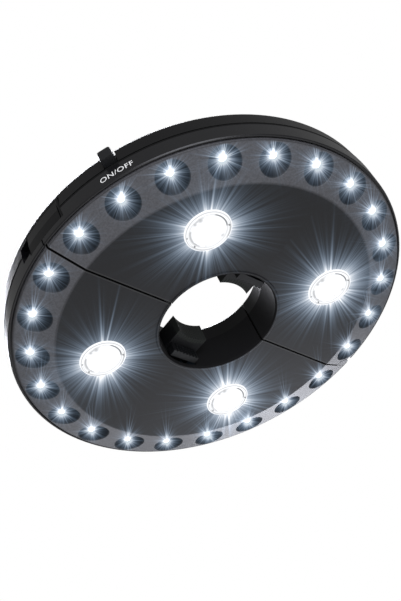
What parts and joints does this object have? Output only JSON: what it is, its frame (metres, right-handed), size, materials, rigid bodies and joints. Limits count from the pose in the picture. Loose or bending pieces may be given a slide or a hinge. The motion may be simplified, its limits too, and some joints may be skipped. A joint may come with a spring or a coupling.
{
  "type": "patio umbrella light",
  "caption": "Round clamp-on pole light: two hinged halves with sprung jaws, a rim of small lights in reflector cups and lamps in the face, lit downwards.",
  "frame": {"origin": "on the pole's axis, at the plane where the upper casing and the lower side wall meet", "axes": "+Z along the pole, up, so the lights face -Z; the seam between the halves lies along X with the hinge at -X and the latch at +X; the half with the button is at +Y"},
  "size_m": [0.2063, 0.2064, 0.0295],
  "materials": {
    "casing": "fine matt texture",
    "rim": "fine matt texture",
    "face": "satin",
    "led": "clear epoxy",
    "lens": "clear polycarbonate",
    "mirror_bowl": "bright metallised",
    "green_board": "solder mask",
    "white_board": "white solder mask",
    "jaw": "satin",
    "pad": "matt",
    "spring": "plated wire",
    "cell": "printed sleeve",
    "contact": "plated",
    "hook": "satin",
    "steel": "plated",
    "button": "satin",
    "switch": "moulded",
    "stem": "moulded"
  },
  "bodies": {
    "half_a": {"upper_casing_a": "casing", "rim_frame_a": "rim", "face_panel_a": "face", "rim_leds_a": "led", "led_board_a": "green_board", "lamp_lens_1": "lens", "lamp_reflector_1": "mirror_bowl", "lamp_board_1": "white_board", "cell_1": "cell", "lamp_lens_2": "lens", "lamp_reflector_2": "mirror_bowl", "lamp_board_2": "white_board", "cell_2": "cell", "jaw_cover_a": "casing", "jaw_springs_a": "spring", "battery_contacts_a": "contact", "battery_springs_a": "contact", "screws_a": "steel", "hook_pin_a": "steel", "hinge_pin": "steel", "latch_pin": "steel", "switch": "switch", "button_spring": "spring"},
    "half_b": {"upper_casing_b": "casing", "rim_frame_b": "rim", "face_panel_b": "face", "rim_leds_b": "led", "led_board_b": "green_board", "lamp_lens_3": "lens", "lamp_reflector_3": "mirror_bowl", "lamp_board_3": "white_board", "cell_3": "cell", "lamp_lens_4": "lens", "lamp_reflector_4": "mirror_bowl", "lamp_board_4": "white_board", "cell_4": "cell", "jaw_cover_b": "casing", "jaw_springs_b": "spring", "battery_contacts_b": "contact", "battery_springs_b": "contact", "screws_b": "steel", "hook_pin_b": "steel"},
    "latch": {"latch": "casing"},
    "button": {"button": "button", "switch_stem": "stem"},
    "jaw_a": {"jaw_a": "jaw", "jaw_pad_a": "pad"},
    "jaw_b": {"jaw_b": "jaw", "jaw_pad_b": "pad"},
    "door_a": {"battery_door_a": "casing"},
    "door_b": {"battery_door_b": "casing"},
    "hook_a": {"hanging_hook_a": "hook"},
    "hook_b": {"hanging_hook_b": "hook"}
  },
  "joints": [
    {"name": "body_opening", "type": "hinge", "parent": "half_a", "child": "half_b", "pos_m": [-0.0986, 0, 0], "axis": [0, 0, -1], "range_deg": [0, 90]},
    {"name": "latch_release", "type": "hinge", "parent": "half_a", "child": "latch", "pos_m": [0.10071, 0.01415, 0], "axis": [0, 0, 1], "range_deg": [0, 70]},
    {"name": "button_press", "type": "slide", "parent": "half_a", "child": "button", "axis": [-0.9063, -0.4226, 0], "range_m": [0, 0.0015], "stiffness_N_per_m": 600, "springref_m": -0.0005, "deforming": ["button_spring"]},
    {"name": "jaw_a_slide", "type": "slide", "parent": "half_a", "child": "jaw_a", "axis": [0, 1, 0], "range_m": [-0.008, 0.004], "stiffness_N_per_m": 400, "springref_m": -0.012, "deforming": ["jaw_springs_a"]},
    {"name": "door_a_hinge", "type": "hinge", "parent": "half_a", "child": "door_a", "pos_m": [0, 0.0851, 0.0097], "axis": [-1, 0, 0], "range_deg": [0, 95]},
    {"name": "hook_a_hinge", "type": "hinge", "parent": "half_a", "child": "hook_a", "pos_m": [0, 0.0353, 0.0096], "axis": [1, 0, 0], "range_deg": [0, 90]},
    {"name": "jaw_b_slide", "type": "slide", "parent": "half_b", "child": "jaw_b", "axis": [0, -1, 0], "range_m": [-0.008, 0.004], "stiffness_N_per_m": 400, "springref_m": -0.012, "deforming": ["jaw_springs_b"]},
    {"name": "door_b_hinge", "type": "hinge", "parent": "half_b", "child": "door_b", "pos_m": [0, -0.0851, 0.0097], "axis": [1, 0, 0], "range_deg": [0, 95]},
    {"name": "hook_b_hinge", "type": "hinge", "parent": "half_b", "child": "hook_b", "pos_m": [0, -0.0353, 0.0096], "axis": [-1, 0, 0], "range_deg": [0, 90]}
  ]
}
